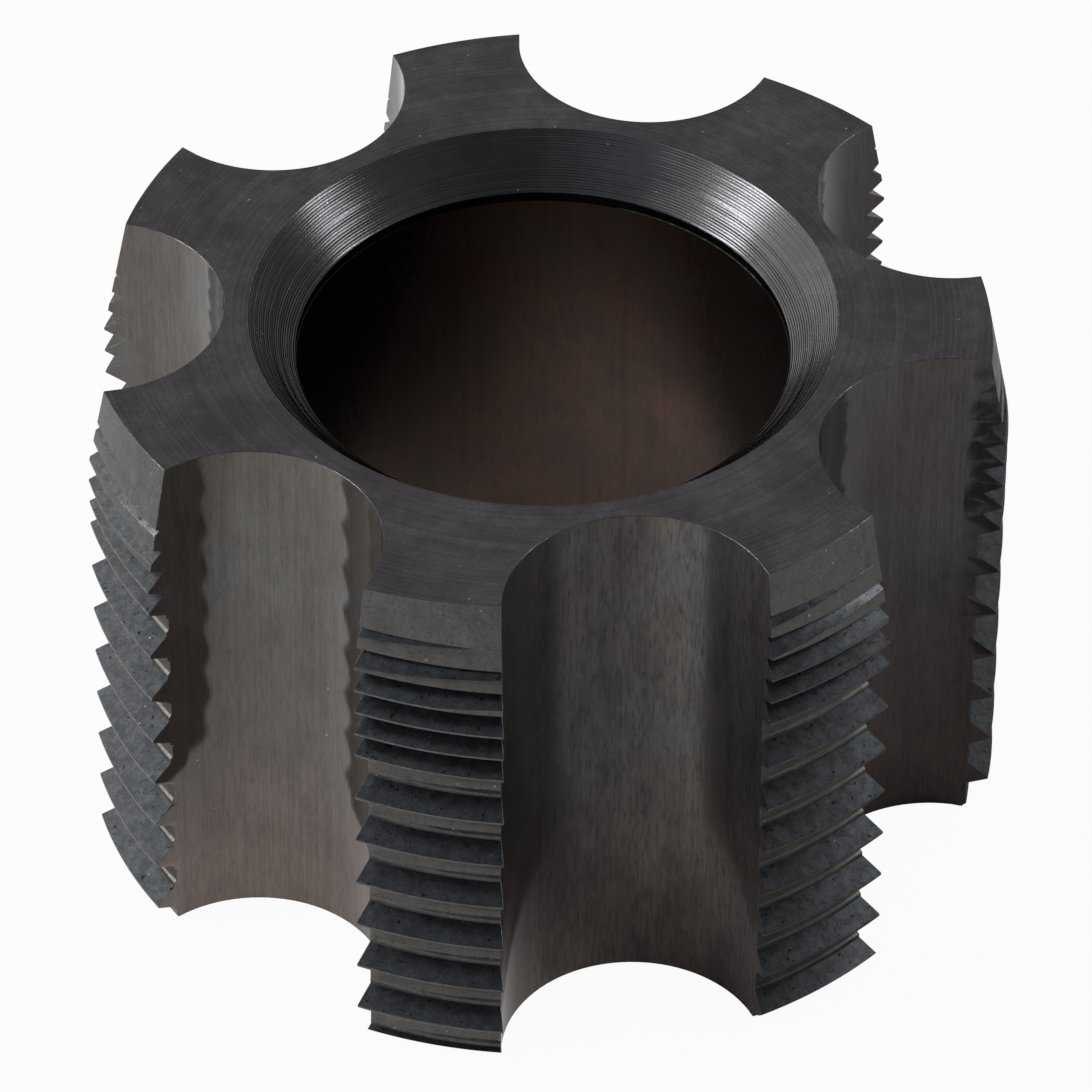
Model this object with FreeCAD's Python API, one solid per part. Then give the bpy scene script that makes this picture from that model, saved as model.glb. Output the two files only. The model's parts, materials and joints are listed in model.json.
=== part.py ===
import FreeCAD, Part
import os
from math import acos, ceil, cos, floor, pi, radians, sin, tan

# Bottom bracket tap: a hollow hand tap that cuts the threads of a bicycle frame's bottom bracket shell.
# One piece of hardened tool steel with seven lands, a relieved lead at its front and an interrupted
# thread behind it. Left-hand thread, 34.8 mm nominal, 24 threads per inch.
# Millimetres. The origin is on the axis at the back face, and +Z points to the front, where cutting starts.

# Body
tap_height = 22.4
bore_radius = 9.2
bore_chamfer = 1.77

# Back edge: the lands are bevelled to this radius at the back face, at this angle from it
back_bevel_radius = 15.89
back_bevel_angle = 35.5

# Lands and flutes
land_count = 7
first_land_angle = -103.3
flute_radius = 4.95
flute_centre_radius = 16.8

# Thread form
thread_pitch = 25.4 / 24
flank_half_angle = 30.0
crest_radius = 17.45
crest_flat = 0.11
first_crest_height = 14.77

# Run-in: over this length behind the front the root rises, so that the grooves get shallower
run_in_length = 5.0
run_in_angle = 4.6

# Lead: a cone ground off centre on each land, so that it falls away behind the cutting edge
lead_front_radius = 16.67
lead_angle = 10.5
lead_relief_offset = 1.0

# Interrupted thread: every second tooth is ground away below this height
interrupted_height = 15.4
band_margin = 0.14
band_depth_at_cutting_edge = 0.01
band_depth_at_heel = 0.11

# Steps of a land's curves, and how far the tools reach past the faces that they cut
arc_points = 5
core_inset = 0.5
root_overlap = 0.6
tool_overrun = 1.0

# Sizes that follow from those above
left_hand = -1
land_step = 2 * pi / land_count
thread_depth = (thread_pitch - crest_flat) / 2 / tan(radians(flank_half_angle))
root_radius = crest_radius - thread_depth
core_radius = root_radius - band_depth_at_heel - core_inset


def flute_edge_angle(radius):
    """Angle from a flute's centre line to its edge, at this distance from the tap's axis."""
    reach = radius ** 2 + flute_centre_radius ** 2 - flute_radius ** 2
    return acos(reach / (2 * radius * flute_centre_radius))


def land_angle(land):
    """Direction of the middle of a land, anticlockwise seen from the front."""
    return radians(first_land_angle) + land * land_step


def crest_height(tooth, turn):
    """Height of a crest where the thread has turned this many radians from the first land."""
    return first_crest_height + thread_pitch * (tooth + left_hand * turn / (2 * pi))


def is_kept(tooth, land):
    """Above the interrupted stretch all teeth stay, and below it every second one along the thread."""
    in_full_thread = crest_height(tooth, land * land_step) > interrupted_height
    return in_full_thread or (tooth + land) % 2 == 0


def root_at(height):
    """Radius of the root, which rises along the run-in."""
    below_front = max(0, tap_height - height)
    run_in = max(0, run_in_length - below_front)
    return root_radius + run_in * tan(radians(run_in_angle))


def tooth_outline(middle):
    """Radius and height of a kept tooth's corners, from its lower root to its upper crest."""
    lower_root = middle - thread_pitch / 2
    return [
        (root_at(lower_root), lower_root),
        (crest_radius, middle - crest_flat / 2),
        (crest_radius, middle + crest_flat / 2),
    ]


def band_outline(middle, depth):
    """The same for a tooth that is ground away: a shallow band sunk between two strips of root."""
    strip_end = thread_pitch / 2 - band_margin
    band_end = strip_end - depth * tan(radians(flank_half_angle))
    return [
        (root_radius, middle - thread_pitch / 2),
        (root_radius, middle - strip_end),
        (root_radius - depth, middle - band_end),
        (root_radius - depth, middle + band_end),
        (root_radius, middle + strip_end),
    ]


def comb_outline(land, turn, across):
    """A land's section at one angle; across runs from 0 at the cutting edge to 1 at the heel."""
    depth = band_depth_at_cutting_edge + across * (band_depth_at_heel - band_depth_at_cutting_edge)
    lowest = floor((-tool_overrun - first_crest_height) / thread_pitch) - 1
    highest = ceil((tap_height + tool_overrun - first_crest_height) / thread_pitch) + 1 + land_count
    outline = []
    for tooth in range(lowest, highest):
        middle = crest_height(tooth, turn)
        if is_kept(tooth, land):
            outline += tooth_outline(middle)
        else:
            outline += band_outline(middle, depth)
    top = crest_height(highest, turn) - thread_pitch / 2
    bottom = crest_height(lowest, turn) - thread_pitch / 2
    inner_radius = core_radius - root_overlap
    return outline + [(root_at(top), top), (inner_radius, top), (inner_radius, bottom)]


def curve_through(points):
    """A smooth edge through these points."""
    curve = Part.BezierCurve()
    curve.interpolate([[point] for point in points])
    return curve.toShape()


def thread_comb(land):
    """A land's threaded wall, a little wider than the land: the section turned along the thread."""
    middle = land_angle(land)
    land_half = land_step / 2 - flute_edge_angle(crest_radius)
    comb_half = land_half + tool_overrun / crest_radius
    sections = []
    for step in range(arc_points):
        share = 2 * step / (arc_points - 1) - 1
        swing = share * comb_half
        across = (swing / land_half + 1) / 2
        outline = comb_outline(land, land * land_step + swing, across)
        direction = FreeCAD.Vector(cos(middle + swing), sin(middle + swing), 0)
        sections.append([direction * radius + FreeCAD.Vector(0, 0, height) for radius, height in outline])
    rails = [curve_through(points) for points in zip(*sections)]
    faces = [Part.makeRuledSurface(rail, rails[i - 1]) for i, rail in enumerate(rails)]
    for section in (sections[0], sections[-1]):
        faces.append(Part.Face(Part.makePolygon(section + section[:1])))
    comb = Part.makeSolid(Part.makeShell(faces))
    comb.fix(1e-6, 1e-6, 1e-6)
    if comb.Volume < 0:
        comb.reverse()
    return comb


def turned(outline, centre=FreeCAD.Vector(0, 0, 0)):
    """A solid of revolution about a line through centre, along Z."""
    points = [centre + FreeCAD.Vector(radius, 0, height) for radius, height in outline]
    face = Part.Face(Part.makePolygon(points + points[:1]))
    return face.revolve(centre, FreeCAD.Vector(0, 0, 1), 360)


def lead_envelope(land):
    """What the relieved lead leaves of a land: a cone whose axis is moved towards the cutting edge."""
    middle = land_angle(land)
    towards_cutting_edge = FreeCAD.Vector(sin(middle), -cos(middle), 0)
    outer_radius = crest_radius + lead_relief_offset + tool_overrun
    lead_length = (outer_radius - lead_front_radius) / tan(radians(lead_angle))
    outline = [
        (0, 0),
        (outer_radius, 0),
        (outer_radius, tap_height - lead_length),
        (lead_front_radius, tap_height),
        (0, tap_height),
    ]
    return turned(outline, towards_cutting_edge * lead_relief_offset)


def bore_tool():
    """The bore and its front chamfer."""
    mouth_radius = bore_radius + bore_chamfer
    return turned([
        (0, -tool_overrun),
        (bore_radius, -tool_overrun),
        (bore_radius, tap_height - bore_chamfer),
        (mouth_radius + tool_overrun, tap_height + tool_overrun),
        (0, tap_height + tool_overrun),
    ])


def back_bevel_tool():
    """A ring that takes the lands' outer edge off at the back face."""
    slope = tan(radians(back_bevel_angle))
    outer_radius = crest_radius + tool_overrun
    return turned([
        (back_bevel_radius - tool_overrun / slope, -tool_overrun),
        (outer_radius, -tool_overrun),
        (outer_radius, (outer_radius - back_bevel_radius) * slope),
    ])


def flute_tools():
    """One round flute between each land and the next."""
    tools = []
    for land in range(land_count):
        angle = land_angle(land) + land_step / 2
        x = flute_centre_radius * cos(angle)
        y = flute_centre_radius * sin(angle)
        base = FreeCAD.Vector(x, y, -tool_overrun)
        tools.append(Part.makeCylinder(flute_radius, tap_height + 2 * tool_overrun, base))
    return tools


def bottom_bracket_tap():
    lands = [thread_comb(land).common(lead_envelope(land)) for land in range(land_count)]
    core = Part.makeCylinder(core_radius, tap_height)
    tap = core.fuse(lands).cut(flute_tools() + [bore_tool(), back_bevel_tool()])
    return tap.removeSplitter()


os.makedirs("parts", exist_ok=True)
tap = bottom_bracket_tap()
tap.exportStep("parts/bottom_bracket_tap.step")
box = tap.BoundBox
print("valid", tap.isValid(), "solids", len(tap.Solids), "faces", len(tap.Faces))
print("size", round(box.XLength, 3), round(box.YLength, 3), round(box.ZLength, 3))
print("volume mm3", round(tap.Volume, 1))
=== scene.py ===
import json
import random
from math import acos, atan, atan2, ceil, cos, floor, pi, radians, sin, sqrt, tan

import bmesh
import bpy
from mathutils import Matrix, Vector


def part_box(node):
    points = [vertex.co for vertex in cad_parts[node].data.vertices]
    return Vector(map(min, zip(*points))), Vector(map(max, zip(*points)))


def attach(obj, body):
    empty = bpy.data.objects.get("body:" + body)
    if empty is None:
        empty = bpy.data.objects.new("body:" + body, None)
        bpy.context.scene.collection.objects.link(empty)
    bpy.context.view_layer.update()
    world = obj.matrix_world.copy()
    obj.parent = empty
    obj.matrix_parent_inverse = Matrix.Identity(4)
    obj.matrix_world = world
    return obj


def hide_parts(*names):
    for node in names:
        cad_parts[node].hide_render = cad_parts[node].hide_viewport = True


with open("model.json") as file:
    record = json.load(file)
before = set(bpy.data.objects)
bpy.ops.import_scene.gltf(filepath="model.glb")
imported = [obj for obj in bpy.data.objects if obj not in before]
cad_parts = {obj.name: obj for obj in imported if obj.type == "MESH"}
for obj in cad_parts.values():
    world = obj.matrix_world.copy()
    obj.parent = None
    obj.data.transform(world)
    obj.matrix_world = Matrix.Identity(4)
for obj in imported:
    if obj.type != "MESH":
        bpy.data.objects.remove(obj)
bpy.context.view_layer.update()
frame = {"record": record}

# A hollow tap for bicycle bottom bracket threads. The piece below has the solid's form, with its edges
# eased by a hair, the turned ridges of the chamfer cut as real grooves, and a finish for each surface.
# Sizes are in millimetres until a vertex is placed; the scene itself is in metres.
MM = 0.001
NODE = "bottom_bracket_tap"

# Body: the height and the bore come from the frame
tap_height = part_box(NODE)[1].z / MM
bore_mount = next(mount for mount in frame["record"]["mounts"] if mount["name"] == "bore")
bore_radius = bore_mount["dims"]["r_mm"]
bore_chamfer = tap_height - bore_mount["dims"]["length_mm"]

# Lands and flutes
land_count = 7
first_land_angle = -103.3
flute_radius = 4.95
flute_centre_radius = 16.8

# Thread form
thread_pitch = 25.4 / 24
flank_half_angle = 30.0
crest_radius = 17.45
crest_flat = 0.11
first_crest_height = 14.77
left_hand = -1

# Run-in, relieved lead and interrupted thread
run_in_length = 5.0
run_in_angle = 4.6
lead_front_radius = 16.67
lead_angle = 10.5
lead_relief_offset = 1.0
interrupted_height = 15.4
band_margin = 0.14
band_depth_at_cutting_edge = 0.01
band_depth_at_heel = 0.11

# Back edge: the bevel as the outline shows it, a little smaller than the solid's
back_bevel_radius = 16.45
back_bevel_angle = 45
bevel_overrun = 1.0

# Fine detail that the solid leaves out
band_wall_width = 0.15
band_wall_steps = 5
edge_ease = 0.014
largest_eased_share = 0.45
sharp_edge_angle = 22
ridge_count = 22
ridge_depth = 0.010
ridge_spread = 0.4
recess_height = 0.36
recess_depth = 0.03
# The stretch of the ledge, in degrees around the axis, that takes the worn-edge finish as a painted
# highlight
ledge_highlight_span = (28, 72)

# Mesh density
land_columns = 25
flute_columns = 41
flute_rows = 24
flute_grid_half_angle = radians(73)
ring_steps = 288
wall_rows = 12
ridge_points = 4
settle_rounds = 4
merge_distance = 0.0008

land_step = 2 * pi / land_count
flank_slope = tan(radians(flank_half_angle))
lead_slope = tan(radians(lead_angle))
flank_height = (thread_pitch - crest_flat) / 2
root_radius = crest_radius - flank_height / flank_slope
mouth_radius = bore_radius + bore_chamfer

# Finishes, by the order of the piece's material slots. The ledge is bore, with the worn-edge finish on one
# stretch as a painted highlight.
TOP, CHAMFER, BORE, FLUTE, GROUND, FLANK, EDGE = range(7)
LEDGE = 7


def flute_edge_angle(radius):
    """Angle from a flute's centre line to its edge, at this distance from the axis."""
    reach = radius ** 2 + flute_centre_radius ** 2 - flute_radius ** 2
    return acos(reach / (2 * radius * flute_centre_radius))


def land_half(radius):
    """Half the angle that a land takes at this radius."""
    return land_step / 2 - flute_edge_angle(radius)


def land_angle(land):
    """Direction of the middle of a land."""
    return radians(first_land_angle) + land * land_step


def crest_height(tooth, turn):
    """Height of a crest where the thread has turned this many radians from the first land."""
    return first_crest_height + thread_pitch * (tooth + left_hand * turn / (2 * pi))


def is_kept(tooth, land):
    """True for a tooth that stands, and False for one that is ground away to a band."""
    in_full_thread = crest_height(tooth, land * land_step) > interrupted_height
    return in_full_thread or (tooth + land) % 2 == 0


def root_at(height):
    """Radius of the root, which rises along the run-in."""
    below_front = max(0, tap_height - height)
    return root_radius + max(0, run_in_length - below_front) * tan(radians(run_in_angle))


def lead_limit(swing, height):
    """Radius that the relieved lead leaves, at an angle from the middle of a land."""
    cone = lead_front_radius + (tap_height - height) * lead_slope
    return -lead_relief_offset * sin(swing) + sqrt(cone ** 2 - (lead_relief_offset * cos(swing)) ** 2)


def eased(corner, towards):
    """A point on the way from a corner to its neighbour, as far off as the edge is eased."""
    dr = towards[0] - corner[0]
    dz = towards[1] - corner[1]
    length = sqrt(dr * dr + dz * dz)
    share = min(largest_eased_share, edge_ease / length) if length > 0 else 0
    return corner[0] + dr * share, corner[1] + dz * share


def tooth_section(middle, swing):
    """Radius and height of a standing tooth's points, from its lower root to its upper flank."""
    low = middle - thread_pitch / 2
    high = middle + thread_pitch / 2
    low_root = root_at(low)
    high_root = root_at(high)
    low_slope = flank_height / (crest_radius - low_root)
    high_slope = flank_height / (crest_radius - high_root)
    root = (min(low_root, lead_limit(swing, low)), low)
    next_root = (min(high_root, lead_limit(swing, high)), high)
    low_fall = lead_slope * low_slope
    high_fall = lead_slope * high_slope
    rise_end = (lead_limit(swing, low) + low_fall * low_root) / (1 + low_fall)
    fall_start = (lead_limit(swing, high) - high_fall * high_root) / (1 - high_fall)
    if rise_end < low_root:
        lower = root
    else:
        radius = min(crest_radius, rise_end)
        lower = (radius, low + (radius - low_root) * low_slope)
    if fall_start < high_root:
        upper = next_root
    else:
        radius = min(crest_radius, fall_start)
        upper = (radius, high - (radius - high_root) * high_slope)
    crest_end = lower
    if lower[0] == crest_radius:
        over = (lead_limit(swing, upper[1]) - crest_radius) / lead_slope
        height = min(upper[1], max(lower[1], upper[1] + over))
        crest_end = (crest_radius, height)
    after_lower = crest_end if crest_end[1] - lower[1] > edge_ease else upper
    before_upper = crest_end if upper[1] - crest_end[1] > edge_ease else lower
    crest_start = eased(lower, after_lower)
    has_crest_end = edge_ease < crest_end[1] - lower[1] < upper[1] - lower[1] - edge_ease
    return [
        root,
        eased(lower, root),
        crest_start,
        crest_end if has_crest_end else crest_start,
        eased(upper, before_upper),
        eased(upper, next_root),
    ]


def band_section(middle, depth):
    """The same for a tooth that is ground away: a shallow band between two strips of root."""
    strip_end = thread_pitch / 2 - band_margin
    wall = []
    for step in range(band_wall_steps + 1):
        share = step / band_wall_steps
        sunk = depth * (1 - cos(pi * share)) / 2
        wall.append((root_radius - sunk, strip_end - band_wall_width * share))
    lower = [(radius, middle - offset) for radius, offset in wall]
    upper = [(radius, middle + offset) for radius, offset in reversed(wall)]
    return [(root_radius, middle - thread_pitch / 2), *lower, *upper]


TOOTH_FINISH = [FLANK, EDGE, GROUND, GROUND, EDGE, FLANK]
BAND_FINISH = [GROUND] * (2 * band_wall_steps + 3)


def section_at(land, tooth, swing):
    """One tooth's or band's points at this angle from the middle of the land."""
    middle = crest_height(tooth, land * land_step + swing)
    if is_kept(tooth, land):
        return tooth_section(middle, swing)
    across = (swing / land_half(crest_radius) + 1) / 2
    growth = band_depth_at_heel - band_depth_at_cutting_edge
    return band_section(middle, band_depth_at_cutting_edge + across * growth)


def settled(land, tooth, index, swing_at):
    """A point whose angle depends on its own radius, as at the slanting edge of a land."""
    radius = root_radius
    for _ in range(settle_rounds):
        swing = swing_at(radius)
        radius, height = section_at(land, tooth, swing)[index]
    return radius, swing_at(radius), height


def clamped(column):
    """The column cut off just short of both end faces, with as many points as before."""
    low, high = edge_ease, tap_height - edge_ease
    cut = []
    for i, point in enumerate(column):
        inside = min(high, max(low, point[2]))
        if inside == point[2]:
            cut.append(point)
            continue
        end = low if inside == low else high
        pairs = zip(column, column[1:])
        before, after = next(pair for pair in pairs if pair[0][2] <= end <= pair[1][2])
        share = (end - before[2]) / (after[2] - before[2])
        cut.append(tuple(a + (b - a) * share for a, b in zip(before, after)))
    return cut


def land_teeth():
    """Numbers of the teeth that reach the part anywhere."""
    lowest = floor(-first_crest_height / thread_pitch) - 1
    highest = ceil((tap_height - first_crest_height) / thread_pitch) + 2 + land_count
    return range(lowest, highest)


def land_column(land, swing_at):
    """Radius, angle from the middle of the land and height of each point of one column."""
    column = []
    for tooth in land_teeth():
        for index in range(len(TOOTH_FINISH) if is_kept(tooth, land) else len(BAND_FINISH)):
            column.append(settled(land, tooth, index, swing_at))
    return clamped(column)


def land_finishes(land):
    """The finish of each strip between two neighbouring points of a column."""
    finishes = []
    for tooth in land_teeth():
        finishes += TOOTH_FINISH if is_kept(tooth, land) else BAND_FINISH
    return finishes[:-1]


class Builder:
    """Gathers vertices in millimetres and faces with a finish."""

    def __init__(self):
        self.mesh = bmesh.new()

    def vertex(self, x, y, z):
        return self.mesh.verts.new((x * MM, y * MM, z * MM))

    def face(self, corners, finish):
        unique = [v for i, v in enumerate(corners) if v not in corners[:i]]
        if len(unique) > 2:
            face = self.mesh.faces.new(unique)
            face.material_index = finish

    def strip(self, first, second, finish):
        """Faces between two rows of as many points; finish is one number or one a face."""
        for i in range(len(first) - 1):
            kind = finish[i] if isinstance(finish, list) else finish
            self.face([first[i], second[i], second[i + 1], first[i + 1]], kind)

    def stitch(self, first, second, finish):
        """Triangles between two columns with different heights along them."""
        i = j = 0
        while i < len(first) - 1 or j < len(second) - 1:
            take_first = j == len(second) - 1 or (
                i < len(first) - 1 and first[i + 1].co.z <= second[j + 1].co.z
            )
            if take_first:
                self.face([first[i], second[j], first[i + 1]], finish)
                i += 1
            else:
                self.face([first[i], second[j], second[j + 1]], finish)
                j += 1


def outer_wall(build):
    """All lands and flutes. Returns the rings of vertices at the bottom and the top."""
    bottom_rim = []
    top_rim = []
    bottom_face = []
    top_face = []

    def place(angle, radius, height):
        return build.vertex(radius * cos(angle), radius * sin(angle), height)

    def flute_place(centre_angle, around, radius, height):
        depth = flute_centre_radius - radius * cos(around)
        side = radius * sin(around)
        x = depth * cos(centre_angle) - side * sin(centre_angle)
        y = depth * sin(centre_angle) + side * cos(centre_angle)
        return build.vertex(x, y, height)

    def around_of(radius, side):
        edge = flute_edge_angle(radius)
        angle = atan2(radius * sin(edge), flute_centre_radius - radius * cos(edge))
        return side * (angle - edge_ease / flute_radius)

    def add_rim(column, bottom, top):
        bottom_rim.append(column[0])
        top_rim.append(column[-1])
        bottom_face.append(bottom)
        top_face.append(top)

    def land_edge(land, side):
        """The column where a land meets a flute, with its rim vertices; side is -1 or 1."""
        points = land_column(land, lambda r: side * land_half(r))
        centre = land_angle(land) + side * land_step / 2
        column = [flute_place(centre, around_of(p[0], -side), flute_radius, p[2]) for p in points]
        rims = [
            flute_place(centre, around_of(p[0], -side), flute_radius + edge_ease, height)
            for p, height in ((points[0], 0), (points[-1], tap_height))
        ]
        return column, *rims

    lands = []
    for land in range(land_count):
        middle = land_angle(land)
        edges = (land_edge(land, -1), land_edge(land, 1))
        columns = []
        for i in range(land_columns):
            share = 2 * i / (land_columns - 1) - 1
            points = land_column(land, lambda r: share * (land_half(r) - edge_ease / r))
            column = [place(middle + swing, radius, height) for radius, swing, height in points]
            if i == 0:
                rims = edges[0][1:]
            elif i == land_columns - 1:
                rims = edges[1][1:]
            else:
                ends = ((points[0], 0), (points[-1], tap_height))
                rims = [place(middle + p[1], p[0] - edge_ease, height) for p, height in ends]
            columns.append((column, *rims))
        lands.append((columns, edges))

    for land, (columns, (near_edge, far_edge)) in enumerate(lands):
        finishes = land_finishes(land)
        for before, after in zip(columns, columns[1:]):
            build.strip(after[0], before[0], finishes)
        build.strip(columns[0][0], near_edge[0], EDGE)
        build.strip(far_edge[0], columns[-1][0], EDGE)
        for column in (near_edge, *columns, far_edge):
            add_rim(*column)

        centre = land_angle(land) + land_step / 2
        grid = []
        low, high = edge_ease, tap_height - edge_ease
        for i in range(flute_columns):
            around = flute_grid_half_angle * (2 * i / (flute_columns - 1) - 1)
            heights = [low + (high - low) * k / (flute_rows - 1) for k in range(flute_rows)]
            column = [flute_place(centre, around, flute_radius, height) for height in heights]
            rims = [flute_place(centre, around, flute_radius + edge_ease, z) for z in (0, tap_height)]
            grid.append(column)
            add_rim(column, *rims)
        for before, after in zip(grid, grid[1:]):
            build.strip(after, before, FLUTE)
        next_edge = lands[(land + 1) % land_count][1][0][0]
        build.stitch(grid[0], far_edge[0], FLUTE)
        build.stitch(next_edge, grid[-1], FLUTE)

    def closed(ring):
        return ring + ring[:1]

    build.strip(closed(bottom_rim), closed(bottom_face), EDGE)
    build.strip(closed(top_face), closed(top_rim), EDGE)
    return bottom_face, top_face


def bore_outline():
    """Radius, height and finish of the bore's rings, from the top face down to the bottom face."""
    chooser = random.Random(7)
    slope = bore_chamfer * sqrt(2)
    ridge = (slope - 2 * edge_ease - recess_depth * sqrt(2)) / ridge_count
    outline = [(mouth_radius + edge_ease, tap_height, EDGE)]
    for i in range(ridge_count):
        depth = ridge_depth * (1 + ridge_spread * (2 * chooser.random() - 1))
        for k in range(ridge_points):
            share = k / ridge_points
            along = edge_ease + ridge * (i + share)
            sunk = depth * (1 - (2 * share - 1) ** 2)
            outline.append((
                mouth_radius - (along - sunk) / sqrt(2),
                tap_height - (along + sunk) / sqrt(2),
                CHAMFER,
            ))
    recess_radius = bore_radius + recess_depth
    along = slope - edge_ease - recess_depth * sqrt(2)
    outline.append((mouth_radius - along / sqrt(2), tap_height - along / sqrt(2), EDGE))
    wall_top = tap_height - bore_chamfer + recess_depth - edge_ease
    ledge = wall_top - recess_height
    outline += [(recess_radius, wall_top, BORE), (recess_radius, ledge, LEDGE)]
    for row in range(wall_rows):
        height = ledge - edge_ease + (2 * edge_ease - ledge) * row / (wall_rows - 1)
        outline.append((bore_radius, height, BORE if row < wall_rows - 1 else EDGE))
    outline.append((bore_radius + edge_ease, 0, EDGE))
    return outline


def bore(build):
    """The bore and its ridged chamfer. Returns its bottom and top rings."""
    rings = []
    outline = bore_outline()
    for radius, height, _ in outline:
        angles = [2 * pi * step / ring_steps for step in range(ring_steps)]
        rings.append([build.vertex(radius * cos(a), radius * sin(a), height) for a in angles])
    # Painted highlight: the light worn-edge finish on one stretch of the ledge only
    lit_ledge_steps = range(round(ring_steps * ledge_highlight_span[0] / 360), round(ring_steps * ledge_highlight_span[1] / 360))
    ledge = [EDGE if step in lit_ledge_steps else BORE for step in range(ring_steps)]
    for i in range(len(rings) - 1):
        upper = rings[i] + rings[i][:1]
        lower = rings[i + 1] + rings[i + 1][:1]
        finish = outline[i][2]
        build.strip(upper, lower, ledge if finish == LEDGE else finish)
    return rings[-1], rings[0]


def fill_between(build, outer, inner, finish):
    """A flat end face between two closed rings."""
    edges = []
    for ring in (outer, inner):
        pairs = zip(ring, ring[1:] + ring[:1])
        edges += [build.mesh.edges.get(pair) for pair in pairs if pair[0] is not pair[1]]
    filled = bmesh.ops.triangle_fill(build.mesh, use_beauty=True, use_dissolve=False, edges=edges)
    for face in filled["geom"]:
        if isinstance(face, bmesh.types.BMFace):
            face.material_index = finish


def blank_mesh():
    """The whole tap, before its back edge is bevelled, as one closed mesh."""
    build = Builder()
    bottom, top = outer_wall(build)
    bore_bottom, bore_top = bore(build)
    fill_between(build, top, bore_top, TOP)
    fill_between(build, bottom, bore_bottom, TOP)
    bmesh.ops.remove_doubles(build.mesh, verts=build.mesh.verts, dist=merge_distance * MM)
    bmesh.ops.recalc_face_normals(build.mesh, faces=build.mesh.faces)
    if build.mesh.calc_volume(signed=True) < 0:
        bmesh.ops.reverse_faces(build.mesh, faces=build.mesh.faces)
    mesh = bpy.data.meshes.new("tap_blank")
    build.mesh.to_mesh(mesh)
    build.mesh.free()
    return mesh


def back_bevel_ring():
    """What the bevel takes off the lands' outer edge at the back face."""
    slope = tan(radians(back_bevel_angle))
    outer_radius = crest_radius + bevel_overrun
    outline = [
        (back_bevel_radius - bevel_overrun / slope, -bevel_overrun),
        (outer_radius, -bevel_overrun),
        (outer_radius, (outer_radius - back_bevel_radius) * slope),
    ]
    build = Builder()
    rings = []
    for radius, height in outline:
        angles = [2 * pi * step / ring_steps for step in range(ring_steps)]
        rings.append([build.vertex(radius * cos(a), radius * sin(a), height) for a in angles])
    for ring, next_ring in zip(rings, rings[1:] + rings[:1]):
        build.strip(ring + ring[:1], next_ring + next_ring[:1], GROUND)
    bmesh.ops.recalc_face_normals(build.mesh, faces=build.mesh.faces)
    mesh = bpy.data.meshes.new("back_bevel_ring")
    build.mesh.to_mesh(mesh)
    build.mesh.free()
    return mesh


def cut_away(body, tool):
    """The body's mesh without the tool's, with the tool's finish on the cut."""
    holders = [bpy.data.objects.new(mesh.name, mesh) for mesh in (body, tool)]
    for holder in holders:
        bpy.context.scene.collection.objects.link(holder)
    blank, cutter = holders
    cut = blank.modifiers.new("cut", "BOOLEAN")
    cut.operation = "DIFFERENCE"
    cut.solver = "EXACT"
    cut.object = cutter
    depsgraph = bpy.context.evaluated_depsgraph_get()
    mesh = bpy.data.meshes.new_from_object(blank.evaluated_get(depsgraph))
    for holder in holders:
        bpy.data.objects.remove(holder)
    return mesh


def tap_mesh():
    """The blank with its back edge bevelled, shaded smooth up to its corners."""
    mesh = cut_away(blank_mesh(), back_bevel_ring())
    mesh.name = "tap_body"
    for polygon in mesh.polygons:
        polygon.use_smooth = True
    mesh.set_sharp_from_angle(angle=radians(sharp_edge_angle))
    return mesh


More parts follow.
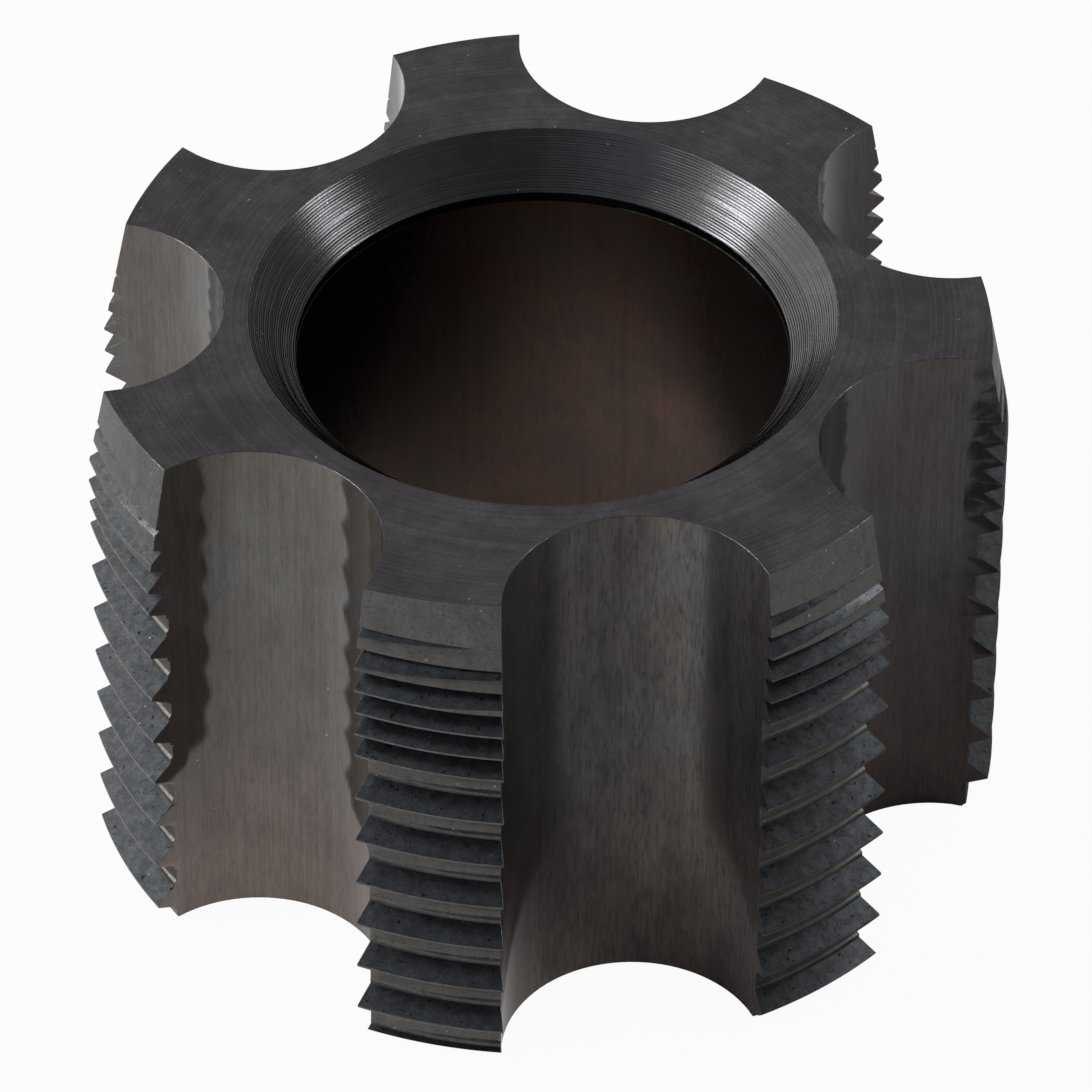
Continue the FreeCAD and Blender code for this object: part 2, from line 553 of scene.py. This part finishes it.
# Finishes
class Finish:
    """A metal material, with short ways to add its nodes. Lengths inside it are in millimetres.

    The roughness holds where a finish doesn't vary it, and metallic is under 1 where grime covers the steel.
    """

    def __init__(self, name, roughness, metallic=1):
        self.material = bpy.data.materials.new(name)
        self.material.use_nodes = True
        self.tree = self.material.node_tree
        self.shader = self.tree.nodes["Principled BSDF"]
        self.shader.inputs["Metallic"].default_value = metallic
        self.shader.inputs["Roughness"].default_value = roughness
        place = self.add("ShaderNodeTexCoord").outputs["Object"]
        self.place = self.scaled(place, (1 / MM, 1 / MM, 1 / MM))
        split = self.add("ShaderNodeSeparateXYZ", {0: self.place})
        self.x, self.y, self.z = split.outputs
        flat = self.scaled(self.place, (1, 1, 0))
        self.radius = self.add("ShaderNodeVectorMath", {0: flat}, operation="LENGTH").outputs["Value"]

    def add(self, kind, inputs=None, **settings):
        node = self.tree.nodes.new(kind)
        for key, value in settings.items():
            setattr(node, key, value)
        for key, value in (inputs or {}).items():
            self.put(node.inputs[key], value)
        return node

    def put(self, socket, value):
        if isinstance(value, bpy.types.NodeSocket):
            self.tree.links.new(value, socket)
        else:
            socket.default_value = value

    def scaled(self, vector, scale):
        node = self.add("ShaderNodeVectorMath", {0: vector, 1: scale}, operation="MULTIPLY")
        return node.outputs["Vector"]

    def math(self, operation, first, second):
        node = self.add("ShaderNodeMath", {0: first, 1: second}, operation=operation)
        return node.outputs["Value"]

    def spread(self, value, low, high, out_low=0.0, out_high=1.0):
        """A value carried from one range to another, and held at its ends."""
        inputs = {"Value": value, "From Min": low, "From Max": high, "To Min": out_low, "To Max": out_high}
        return self.add("ShaderNodeMapRange", inputs, interpolation_type="SMOOTHSTEP").outputs["Result"]

    def noise(self, scale, detail=3.0, stretch=(1, 1, 1), roughness=0.5, seed=0.0):
        """Cloudy noise, with this many cells a millimetre along each stretched axis."""
        moved = self.add("ShaderNodeVectorMath", {0: self.place, 1: (seed, seed, seed)}, operation="ADD")
        vector = self.scaled(moved.outputs["Vector"], stretch)
        inputs = {"Vector": vector, "Scale": scale, "Detail": detail, "Roughness": roughness}
        return self.add("ShaderNodeTexNoise", inputs).outputs["Fac"]

    def rings(self, scale, detail=2.0):
        """Noise that changes only with the distance from the axis, as a cutting tool leaves it."""
        along = self.math("MULTIPLY", self.radius, scale)
        inputs = {"W": along, "Scale": 1.0, "Detail": detail}
        return self.add("ShaderNodeTexNoise", inputs, noise_dimensions="1D").outputs["Fac"]

    def blend(self, factor, first, second):
        node = self.add("ShaderNodeMix", data_type="RGBA")
        self.put(node.inputs["Factor"], factor)
        for socket, value in ((node.inputs[6], first), (node.inputs[7], second)):
            self.put(socket, value if isinstance(value, bpy.types.NodeSocket) else (*value, 1))
        return node.outputs[2]

    def colour(self, value):
        self.put(self.shader.inputs["Base Color"], value)

    def roughness(self, value):
        self.put(self.shader.inputs["Roughness"], value)

    def bump(self, *layers):
        """Relief from pairs of a height from 0 to 1 and its depth in millimetres."""
        normal = None
        for height, depth in layers:
            inputs = {"Height": height, "Strength": 1.0, "Distance": depth * MM}
            if normal:
                inputs["Normal"] = normal
            normal = self.add("ShaderNodeBump", inputs).outputs["Normal"]
        self.put(self.shader.inputs["Normal"], normal)

    def specks(self, scale, threshold, seed):
        """Rare small spots: 1 inside a spot and 0 elsewhere."""
        spots = self.noise(scale, detail=1.0, seed=seed)
        return self.spread(spots, threshold, threshold + 0.03)


def turned_front():
    finish = Finish("turned_front", 0.5)
    patches = finish.noise(0.3, detail=6, roughness=0.68)
    stains = finish.noise(0.42, detail=5, roughness=0.6, seed=14)
    grain = finish.noise(14, detail=3)
    lines = finish.rings(3.2, detail=2)
    fine_lines = finish.rings(11, detail=2)
    base = finish.blend(finish.spread(patches, 0.38, 0.62), (0.06, 0.055, 0.058), (0.098, 0.095, 0.101))
    base = finish.blend(finish.spread(stains, 0.52, 0.66, 0, 0.6), base, (0.077, 0.062, 0.06))
    base = finish.blend(finish.spread(lines, 0.4, 0.66, 0.3, 0), base, (0.045, 0.042, 0.046))
    base = finish.blend(finish.spread(fine_lines, 0.55, 0.75, 0, 0.35), base, (0.14, 0.138, 0.148))
    base = finish.blend(finish.spread(grain, 0.35, 0.65, 0.45, 0), base, (0.04, 0.039, 0.043))
    base = finish.blend(finish.specks(4, 0.8, 3), base, (0.3, 0.3, 0.3))
    finish.colour(base)
    finish.roughness(finish.spread(finish.noise(1.6, detail=4), 0.3, 0.7, 0.38, 0.54))
    finish.bump((lines, 0.012), (fine_lines, 0.005), (grain, 0.006))
    return finish.material


def turned_chamfer():
    finish = Finish("turned_chamfer", 0.2)
    patches = finish.noise(0.7, detail=4)
    fine = finish.noise(12, detail=3, seed=6)
    base = finish.blend(finish.spread(patches, 0.3, 0.7), (0.088, 0.088, 0.093), (0.112, 0.112, 0.118))
    base = finish.blend(finish.spread(fine, 0.35, 0.7, 0, 0.35), base, (0.07, 0.07, 0.074))
    base = finish.blend(finish.specks(6, 0.79, 9), base, (0.5, 0.5, 0.5))
    finish.colour(base)
    finish.roughness(finish.spread(fine, 0.3, 0.7, 0.14, 0.24))
    finish.bump((finish.rings(30), 0.001), (fine, 0.0015))
    return finish.material


# The bore's two painted shades, near black at the left and dark grey at the right: where each one's edge
# begins and ends at the top of the wall, in millimetres to the right of the axis, and how far it leans
# outwards for each millimetre down
left_shade_ends = (-5.2, -3.0)
left_shade_slope = 0.42
right_shade_ends = (5.0, 5.8)
right_shade_slope = 0.185
# Height over which the recess's painted shade fades in, just below the ledge's foot, in millimetres
recess_shade_fade = 0.004


def bore_wall():
    finish = Finish("bore_wall", 0.2)
    streaks = finish.noise(2.4, detail=4, stretch=(1, 1, 0.05))
    patches = finish.noise(0.4, detail=5, roughness=0.65, seed=4)
    grain = finish.noise(5, detail=4, stretch=(1, 1, 0.3), roughness=0.7, seed=12)
    base = finish.blend(finish.spread(patches, 0.35, 0.65), (0.118, 0.074, 0.058), (0.096, 0.074, 0.064))
    base = finish.blend(finish.spread(streaks, 0.5, 0.75, 0, 0.35), base, (0.06, 0.045, 0.038))
    base = finish.blend(finish.spread(grain, 0.5, 0.75, 0, 0.5), base, (0.05, 0.038, 0.034))
    # Painted shade: the wall is darkened at the left and greyed at the right, along ragged slanting edges
    ragged = finish.math("ADD", finish.x, finish.spread(grain, 0.2, 0.8, -1.2, 1.2))
    depth = finish.math("SUBTRACT", tap_height - bore_chamfer, finish.z)
    from_left = finish.math("ADD", ragged, finish.math("MULTIPLY", depth, left_shade_slope))
    left_shade = finish.spread(from_left, *left_shade_ends, 0.85, 0)
    base = finish.blend(left_shade, base, (0.014, 0.013, 0.013))
    from_right = finish.math("SUBTRACT", ragged, finish.math("MULTIPLY", depth, right_shade_slope))
    right_shade = finish.spread(from_right, *right_shade_ends, 0, 0.5)
    base = finish.blend(right_shade, base, (0.05, 0.046, 0.046))
    wall_top = tap_height - bore_chamfer + recess_depth - edge_ease
    ledge_foot = wall_top - recess_height - edge_ease
    # Painted shade: the recess above the ledge is darkened almost to black
    recess_shade = finish.spread(finish.z, ledge_foot - recess_shade_fade, ledge_foot)
    base = finish.blend(recess_shade, base, (0.012, 0.011, 0.011))
    finish.colour(base)
    finish.roughness(finish.spread(patches, 0.3, 0.7, 0.3, 0.38))
    finish.bump((streaks, 0.002), (grain, 0.0015))
    return finish.material


def ground_flute():
    finish = Finish("ground_flute", 0.1, metallic=0.6)
    lines = finish.noise(11, detail=3, stretch=(1, 1, 0.012), roughness=0.6)
    streaks = finish.noise(2.2, detail=4, stretch=(1, 1, 0.05), seed=2)
    patches = finish.noise(0.22, detail=4, seed=5)
    dirt = finish.noise(9, detail=5, stretch=(1, 1, 0.16), roughness=0.75, seed=8)
    smears = finish.noise(1.1, detail=5, stretch=(1, 1, 0.35), roughness=0.7, seed=19)
    rust = finish.noise(0.9, detail=4, stretch=(1, 1, 0.4), roughness=0.6, seed=23)
    # Painted reflection: lighter and browner towards the bottom, where the flutes mirror the bright floor
    # near the base
    low = finish.spread(finish.z, 1, 12)
    base = finish.blend(low, (0.2, 0.15, 0.13), (0.15, 0.14, 0.131))
    base = finish.blend(finish.spread(patches, 0.42, 0.62, 0, 0.45), base, (0.135, 0.105, 0.093))
    base = finish.blend(finish.spread(lines, 0.35, 0.65, 0.35, 0), base, (0.077, 0.071, 0.067))
    base = finish.blend(finish.spread(streaks, 0.45, 0.72, 0, 0.3), base, (0.087, 0.079, 0.074))
    base = finish.blend(finish.spread(rust, 0.6, 0.75, 0, 0.35), base, (0.128, 0.075, 0.059))

    # The flute that faces the viewer gets the most dirt and smears, partly real and partly painted shade
    beside = finish.spread(finish.x, -1.5, 0.5)
    front_flute_dirt_and_shade = finish.math("MULTIPLY", beside, finish.spread(finish.y, -10.5, -9.5, 1, 0))
    smear_and_shade_strength = finish.spread(front_flute_dirt_and_shade, 0, 1, 0.25, 0.5)
    smear_and_shade_share = finish.math("MULTIPLY", finish.spread(smears, 0.4, 0.7), smear_and_shade_strength)
    base = finish.blend(smear_and_shade_share, base, (0.045, 0.039, 0.036))
    dirt_and_shade_strength = finish.spread(front_flute_dirt_and_shade, 0, 1, 0.35, 0.7)
    dirt_and_shade_share = finish.math("MULTIPLY", finish.spread(dirt, 0.42, 0.72), dirt_and_shade_strength)
    base = finish.blend(dirt_and_shade_share, base, (0.03, 0.027, 0.026))
    base = finish.blend(finish.specks(4.5, 0.8, 13), base, (0.3, 0.29, 0.28))
    finish.colour(base)
    dull_dirt = finish.spread(dirt_and_shade_share, 0, 0.6, 0.07, 0.15)
    dull_flute = finish.spread(front_flute_dirt_and_shade, 0, 1, 0, 0.15)
    finish.roughness(finish.math("ADD", dull_dirt, dull_flute))
    finish.bump((lines, 0.001), (dirt, 0.001))
    return finish.material


def ground_land():
    finish = Finish("ground_land", 0.38)
    grain = finish.noise(9.0, detail=4, roughness=0.7)
    patches = finish.noise(1.2, detail=4, seed=6)
    streaks = finish.noise(5.0, detail=3, stretch=(1, 1, 0.1), seed=3)
    base = finish.blend(finish.spread(patches, 0.3, 0.7), (0.102, 0.097, 0.092), (0.142, 0.136, 0.128))
    base = finish.blend(finish.spread(streaks, 0.5, 0.75, 0, 0.4), base, (0.075, 0.071, 0.068))
    base = finish.blend(finish.spread(grain, 0.48, 0.68, 0, 0.6), base, (0.05, 0.048, 0.047))
    base = finish.blend(finish.specks(6, 0.76, 21), base, (0.4, 0.37, 0.33))
    finish.colour(base)
    finish.roughness(finish.spread(patches, 0.3, 0.7, 0.3, 0.46))
    finish.bump((grain, 0.006), (streaks, 0.003))
    return finish.material


def thread_flank():
    finish = Finish("thread_flank", 0.36)
    mottle = finish.noise(2.4, detail=5, roughness=0.65, seed=11)
    grain = finish.noise(10, detail=3, seed=1)
    base = finish.blend(finish.spread(mottle, 0.36, 0.66), (0.068, 0.074, 0.078), (0.11, 0.117, 0.124))
    base = finish.blend(finish.spread(grain, 0.35, 0.62, 0.5, 0), base, (0.045, 0.046, 0.05))
    pits = finish.spread(finish.noise(4.5, detail=2, seed=17), 0.67, 0.7)
    base = finish.blend(pits, base, (0.02, 0.02, 0.022))
    base = finish.blend(finish.specks(6, 0.79, 25), base, (0.5, 0.48, 0.45))
    finish.colour(base)
    finish.roughness(finish.spread(mottle, 0.3, 0.7, 0.26, 0.31))
    finish.bump((grain, 0.002))
    return finish.material


def worn_edge():
    finish = Finish("worn_edge", 0.32)
    wear = finish.noise(3.2, detail=5, roughness=0.75, seed=31)
    finish.colour(finish.blend(finish.spread(wear, 0.46, 0.7), (0.07, 0.069, 0.069), (0.24, 0.23, 0.22)))
    finish.bump((finish.noise(18, detail=2), 0.003))
    return finish.material


mesh = tap_mesh()
tap = bpy.data.objects.new("tap_body", mesh)
bpy.context.scene.collection.objects.link(tap)
for make in (turned_front, turned_chamfer, bore_wall, ground_flute, ground_land, thread_flank, worn_edge):
    mesh.materials.append(make())
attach(tap, "root")
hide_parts(NODE)

# Stage: a sheet of white paper that looks white to the camera and keeps a soft shadow. In the metal's
# gloss it shows a painted glow, brightest at the left, where the large lamp stands, less so towards the
# viewer, and lifted again far to the front right. Each pair of ends is where a step begins and where it is
# whole, in metres from the axis.
floor_half = 1.5
floor_roughness = 0.9
floor_white = 0.6
camera_lift = 0.95
left_lift = 0.97
left_ends = (0.010, -0.014)
front_share = 0.5
front_ends = (-0.035, -0.070)
right_lift = 0.5
right_ends = (0.028, 0.060)
right_front_ends = (0, -0.015)


def white_floor():
    mesh = bpy.data.meshes.new("floor")
    corners = [(x * floor_half, y * floor_half, 0) for x, y in ((-1, -1), (1, -1), (1, 1), (-1, 1))]
    mesh.from_pydata(corners, [], [(0, 1, 2, 3)])
    ground = bpy.data.objects.new("floor", mesh)
    bpy.context.scene.collection.objects.link(ground)
    paper = bpy.data.materials.new("floor_paper")
    paper.use_nodes = True
    tree = paper.node_tree
    shader = tree.nodes["Principled BSDF"]
    shader.inputs["Base Color"].default_value = (floor_white, floor_white, floor_white, 1)
    shader.inputs["Roughness"].default_value = floor_roughness
    glow = tree.nodes.new("ShaderNodeEmission")
    glow.inputs["Color"].default_value = (1, 1, 1, 1)

    def stepped(value, ends, levels):
        """A smooth step from one level to another as the value goes from end to end."""
        low, high = sorted(zip(ends, levels))
        step = tree.nodes.new("ShaderNodeMapRange")
        step.interpolation_type = "SMOOTHSTEP"
        tree.links.new(value, step.inputs["Value"])
        numbers = (low[0], high[0], low[1], high[1])
        for name, number in zip(("From Min", "From Max", "To Min", "To Max"), numbers):
            step.inputs[name].default_value = number
        return step.outputs["Result"]

    def math(operation, first, second):
        node = tree.nodes.new("ShaderNodeMath")
        node.operation = operation
        tree.links.new(first, node.inputs[0])
        if isinstance(second, float):
            node.inputs[1].default_value = second
        else:
            tree.links.new(second, node.inputs[1])
        return node.outputs["Value"]

    place = tree.nodes.new("ShaderNodeTexCoord").outputs["Object"]
    split = tree.nodes.new("ShaderNodeSeparateXYZ")
    tree.links.new(place, split.inputs[0])
    left = stepped(split.outputs["X"], left_ends, (0, left_lift))
    towards_front = stepped(split.outputs["Y"], front_ends, (1, front_share))
    far_right = stepped(split.outputs["X"], right_ends, (0, right_lift))
    right_front = stepped(split.outputs["Y"], right_front_ends, (0, 1))
    right = math("MULTIPLY", far_right, right_front)
    # The glow that glossy rays see is painted light, set by place on the floor
    sides = math("MAXIMUM", math("MULTIPLY", left, towards_front), right)
    path = tree.nodes.new("ShaderNodeLightPath")
    gloss = math("MULTIPLY", path.outputs["Is Glossy Ray"], sides)
    lift = math("MAXIMUM", gloss, math("MULTIPLY", path.outputs["Is Camera Ray"], camera_lift))
    mix = tree.nodes.new("ShaderNodeMixShader")
    tree.links.new(lift, mix.inputs[0])
    tree.links.new(shader.outputs[0], mix.inputs[1])
    tree.links.new(glow.outputs[0], mix.inputs[2])
    tree.links.new(mix.outputs[0], tree.nodes["Material Output"].inputs["Surface"])
    mesh.materials.append(paper)


def softbox(name, azimuth, elevation, width, height, brightness, colour):
    """A lit panel that faces the tap. Azimuth 0 is to the right and 90 behind; sizes in degrees as seen."""
    lamp_distance = 0.6
    lamp = bpy.data.lights.new(name, "AREA")
    lamp.shape = "RECTANGLE"
    lamp.size = 2 * lamp_distance * tan(radians(width / 2))
    lamp.size_y = 2 * lamp_distance * tan(radians(height / 2))
    lamp.energy = brightness * pi * lamp.size * lamp.size_y
    lamp.color = colour
    holder = bpy.data.objects.new(name, lamp)
    flat = cos(radians(elevation))
    towards = Vector((cos(radians(azimuth)) * flat, sin(radians(azimuth)) * flat, sin(radians(elevation))))
    holder.location = towards * lamp_distance
    holder.rotation_mode = "QUATERNION"
    holder.rotation_quaternion = (-towards).to_track_quat("-Z", "Y")
    bpy.context.scene.collection.objects.link(holder)


ceiling_colour = (0.07, 0.073, 0.078)

# Soft patches of the ceiling and walls: the way to a patch's middle as azimuth and elevation, the
# angles from there at which it is whole and at which it ends, and its colour
sky_patches = [
    ((90, 44), (22, 58), (0.74, 0.74, 0.76)),
    ((270, 36), (14, 44), (0.14, 0.145, 0.155)),
    ((180, 42), (34, 62), (0.36, 0.375, 0.4)),
    ((0, 36), (20, 52), (0.24, 0.245, 0.26)),
]


def studio_world():
    """A dark ceiling with brighter patches at the back, the front and both sides."""
    world = bpy.data.worlds.new("studio")
    bpy.context.scene.world = world
    world.use_nodes = True
    tree = world.node_tree
    place = tree.nodes.new("ShaderNodeTexCoord")
    colour = ceiling_colour
    for (azimuth, elevation), (inner, outer), patch_colour in sky_patches:
        flat = cos(radians(elevation))
        middle = (cos(radians(azimuth)) * flat, sin(radians(azimuth)) * flat, sin(radians(elevation)))
        towards = tree.nodes.new("ShaderNodeVectorMath")
        towards.operation = "DOT_PRODUCT"
        towards.inputs[1].default_value = middle
        tree.links.new(place.outputs["Generated"], towards.inputs[0])
        share = tree.nodes.new("ShaderNodeMapRange")
        share.interpolation_type = "SMOOTHSTEP"
        share.inputs["From Min"].default_value = cos(radians(outer))
        share.inputs["From Max"].default_value = cos(radians(inner))
        tree.links.new(towards.outputs["Value"], share.inputs["Value"])
        mix = tree.nodes.new("ShaderNodeMix")
        mix.data_type = "RGBA"
        mix.blend_type = "LIGHTEN"
        mix.inputs[7].default_value = (*patch_colour, 1)
        if isinstance(colour, tuple):
            mix.inputs[6].default_value = (*colour, 1)
        else:
            tree.links.new(colour, mix.inputs[6])
        tree.links.new(share.outputs["Result"], mix.inputs["Factor"])
        colour = mix.outputs[2]
    tree.links.new(colour, tree.nodes["Background"].inputs["Color"])


white_floor()
studio_world()

# Each lamp's azimuth, elevation, width and height in degrees, then its brightness and colour
softbox("left_softbox", 183, 29, 11, 38, 10, (1, 1, 1))
softbox("right_softbox", 4, 28, 9, 34, 6.4, (1, 1, 1))
softbox("left_surround", 171, 17, 102, 50, 1.1, (1, 0.98, 0.95))

# Camera: where the photograph was taken from
photo_size = 1092
focal_pixels = 8769
principal_point = (575.97, 568.67)
camera_distance = 340.33
camera_elevation = radians(41.37)
camera_roll = radians(-0.534)
camera_offset = (1.303, 7.298)


def photo_camera():
    right = Vector((1, 0, 0))
    back = Vector((0, -cos(camera_elevation), sin(camera_elevation)))
    up = back.cross(right)
    place = right * camera_offset[0] + up * camera_offset[1] + back * camera_distance
    data = bpy.data.cameras.new("photo_camera")
    data.sensor_fit = "HORIZONTAL"
    data.angle = 2 * atan(photo_size / 2 / focal_pixels)
    data.shift_x = (photo_size / 2 - principal_point[0]) / photo_size
    data.shift_y = (principal_point[1] - photo_size / 2) / photo_size
    data.clip_start = 0.01
    data.clip_end = 10
    camera = bpy.data.objects.new("photo_camera", data)
    turn = Matrix((right, up, back)).transposed() @ Matrix.Rotation(-camera_roll, 3, "Z")
    camera.matrix_world = Matrix.Translation(place * MM) @ turn.to_4x4()
    bpy.context.scene.collection.objects.link(camera)
    bpy.context.scene.camera = camera


photo_camera()
bpy.context.scene.view_settings.view_transform = "Standard"
